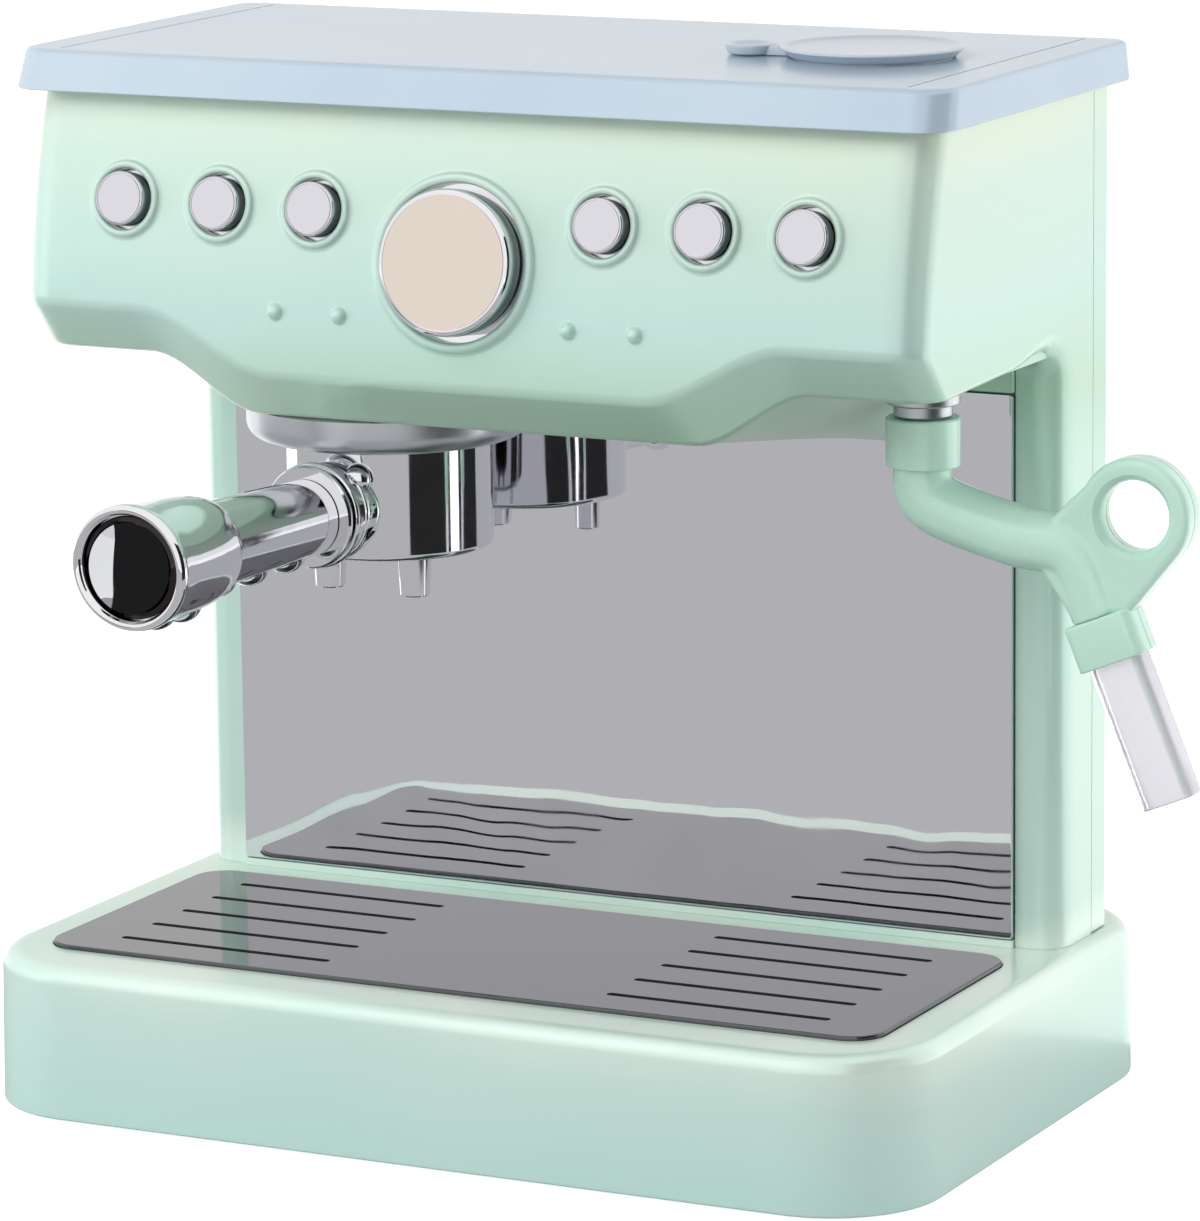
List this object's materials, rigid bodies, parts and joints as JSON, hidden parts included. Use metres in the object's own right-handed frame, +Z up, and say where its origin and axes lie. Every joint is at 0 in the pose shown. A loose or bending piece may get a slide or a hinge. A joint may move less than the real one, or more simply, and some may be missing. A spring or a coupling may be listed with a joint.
{
  "type": "toy coffee maker",
  "caption": "Play espresso machine with push buttons, a twisting portafilter, a swinging steam wand, a lift-out drip plate and a filler cap",
  "frame": {"origin": "centre of the underside of the base, on the bottom plate's flat face", "axes": "+Z up, -Y towards the fascia with the buttons, +X to the side of the steam wand"},
  "size_m": [0.295, 0.2013, 0.263],
  "materials": {
    "housing": "pearl mint plastic",
    "lid": "pearl silver blue plastic",
    "chrome": "bright plated plastic",
    "brew_face": "warm plated plastic",
    "satin": "satin silver plastic",
    "drip": "dark plated plastic",
    "mirror": "mirror film on plastic",
    "clear": "clear plastic",
    "black_plastic": "matt black",
    "rubber": "matt",
    "board": "green board",
    "steel": "zinc plated"
  },
  "bodies": {
    "root": {"base_housing": "housing", "base_bottom_plate": "housing", "drip_tray": "housing", "battery_box": "black_plastic", "battery_door": "housing", "battery_door_screw": "steel", "speaker": "black_plastic", "main_housing": "housing", "back_cover": "housing", "mirror_panel": "mirror", "tower_screw_left": "steel", "tower_screw_right": "steel", "underside_shell": "housing", "lid_tray": "lid", "circuit_board": "board", "keypad_membrane": "rubber", "group_ring": "satin", "wand_collar": "satin", "foot_1": "rubber", "base_screw_1": "steel", "cover_screw_1": "steel", "foot_2": "rubber", "base_screw_2": "steel", "cover_screw_2": "steel", "foot_3": "rubber", "base_screw_3": "steel", "cover_screw_3": "steel", "foot_4": "rubber", "base_screw_4": "steel", "cover_screw_4": "steel"},
    "drip_plate": {"drip_plate": "drip"},
    "filler_cap": {"filler_cap": "lid"},
    "basket": {"filter_basket": "steel"},
    "portafilter": {"portafilter_cup": "chrome", "spout_left": "chrome", "spout_right": "chrome", "handle_collar": "chrome", "handle_shaft": "chrome", "handle_grip": "chrome", "handle_end_cap": "drip"},
    "wand": {"wand_front_half": "housing", "wand_back_half": "housing", "wand_nozzle": "clear", "wand_clip": "black_plastic"},
    "brew_button": {"brew_button": "brew_face"},
    "button_1": {"button_1": "chrome"},
    "button_2": {"button_2": "chrome"},
    "button_3": {"button_3": "chrome"},
    "button_4": {"button_4": "chrome"},
    "button_5": {"button_5": "chrome"},
    "button_6": {"button_6": "chrome"}
  },
  "joints": [
    {"name": "button_1_press", "type": "slide", "parent": "root", "child": "button_1", "axis": [0, 0.98, -0.1992], "range_m": [0, 0.0018], "stiffness_N_per_m": 400, "springref_m": -0.0005},
    {"name": "button_2_press", "type": "slide", "parent": "root", "child": "button_2", "axis": [0, 0.98, -0.1992], "range_m": [0, 0.0018], "stiffness_N_per_m": 400, "springref_m": -0.0005},
    {"name": "button_3_press", "type": "slide", "parent": "root", "child": "button_3", "axis": [0, 0.98, -0.1992], "range_m": [0, 0.0018], "stiffness_N_per_m": 400, "springref_m": -0.0005},
    {"name": "button_4_press", "type": "slide", "parent": "root", "child": "button_4", "axis": [0, 0.98, -0.1992], "range_m": [0, 0.0018], "stiffness_N_per_m": 400, "springref_m": -0.0005},
    {"name": "button_5_press", "type": "slide", "parent": "root", "child": "button_5", "axis": [0, 0.98, -0.1992], "range_m": [0, 0.0018], "stiffness_N_per_m": 400, "springref_m": -0.0005},
    {"name": "button_6_press", "type": "slide", "parent": "root", "child": "button_6", "axis": [0, 0.98, -0.1992], "range_m": [0, 0.0018], "stiffness_N_per_m": 400, "springref_m": -0.0005},
    {"name": "brew_press", "type": "slide", "parent": "root", "child": "brew_button", "axis": [0, 0.9885, -0.1515], "range_m": [0, 0.003], "stiffness_N_per_m": 400, "springref_m": -0.001},
    {"name": "portafilter_drop", "type": "slide", "parent": "root", "child": "basket", "axis": [0, 0, -1], "range_m": [0, 0.01]},
    {"name": "portafilter_twist", "type": "hinge", "parent": "basket", "child": "portafilter", "pos_m": [-0.0423, -0.01, 0.15], "axis": [0, 0, 1], "range_deg": [-40, 6]},
    {"name": "wand_swivel", "type": "hinge", "parent": "root", "child": "wand", "pos_m": [0.1004, -0.01, 0.18], "axis": [0, 0, 1], "range_deg": [-80, 30]},
    {"name": "drip_plate_lift", "type": "slide", "parent": "root", "child": "drip_plate", "axis": [0, 0, 1], "range_m": [0, 0.025]},
    {"name": "filler_cap_lift", "type": "slide", "parent": "root", "child": "filler_cap", "axis": [0, 0, 1], "range_m": [0, 0.015]}
  ]
}
